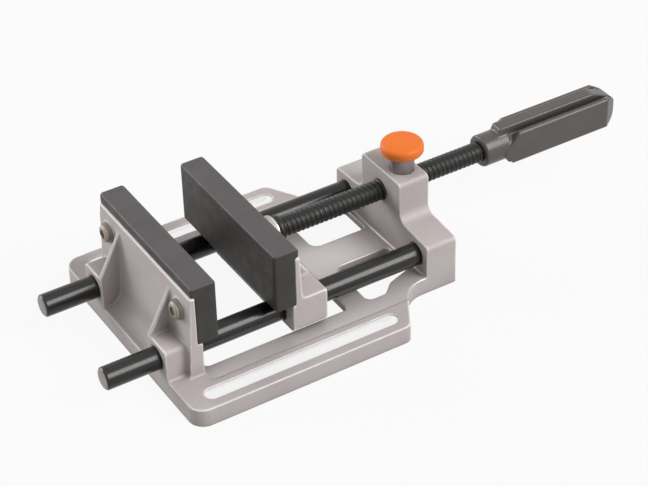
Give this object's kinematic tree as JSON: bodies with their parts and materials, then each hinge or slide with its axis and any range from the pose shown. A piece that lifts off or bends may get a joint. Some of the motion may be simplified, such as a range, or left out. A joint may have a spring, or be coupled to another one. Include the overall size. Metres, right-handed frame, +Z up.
{
  "type": "drill press vise",
  "caption": "Low quick-release drill press vise with padded jaws, guide rods, a slotted base, a lead screw with a ribbed handle, and a push button on the screw tower.",
  "frame": {"origin": "on the machine table, under the base, midway between the two hold-down slots and midway along them", "axes": "+X along the lead screw from the fixed jaw to the handle, +Z up from the table, -Y the side that the picture shows nearest"},
  "size_m": [0.3576, 0.155, 0.0749],
  "materials": {
    "casting": "satin blasted light grey casting",
    "black_steel": "blackened and ground",
    "screw_steel": "blackened thread",
    "spring_steel": "plain",
    "nut_steel": "dark turned steel",
    "jaw_pad": "charcoal, matte",
    "yellow_zinc": "yellow plated",
    "brass_insert": "plain",
    "handle_plastic": "dark grey, satin",
    "button_plastic": "orange, satin"
  },
  "bodies": {
    "base": {"base_casting": "casting", "guide_rod_near": "black_steel", "guide_rod_far": "black_steel", "rod_roll_pins": "spring_steel", "fixed_jaw_pad": "jaw_pad", "fixed_pad_screws": "yellow_zinc", "fixed_pad_washers": "spring_steel", "fixed_pad_inserts": "brass_insert", "release_spring": "spring_steel", "spring_plug": "spring_steel"},
    "moving_jaw": {"moving_jaw_casting": "casting", "moving_jaw_pad": "jaw_pad", "moving_pad_screws": "yellow_zinc", "moving_pad_washers": "spring_steel", "moving_pad_inserts": "brass_insert", "screw_retaining_pin": "spring_steel", "thrust_washer": "spring_steel"},
    "screw": {"lead_screw": "screw_steel", "handle_grip": "handle_plastic", "handle_roll_pin": "spring_steel"},
    "release": {"release_nut": "nut_steel", "release_cap": "button_plastic"}
  },
  "joints": [
    {"name": "jaw_slide", "type": "slide", "parent": "base", "child": "moving_jaw", "axis": [1, 0, 0], "range_m": [-0.0342, 0.064]},
    {"name": "screw_turn", "type": "hinge", "parent": "moving_jaw", "child": "screw", "pos_m": [0.02, 0, 0.043], "axis": [1, 0, 0], "range_deg": [-4105, 7681]},
    {"name": "button_press", "type": "slide", "parent": "base", "child": "release", "axis": [0, 0, -1], "range_m": [0, 0.0025], "stiffness_N_per_m": 1200, "springref_m": -0.004, "deforming": ["release_spring"]}
  ],
  "couplings": [
    {"joint": "screw_turn", "follows": "jaw_slide", "rad_per_m": 2094.4}
  ]
}
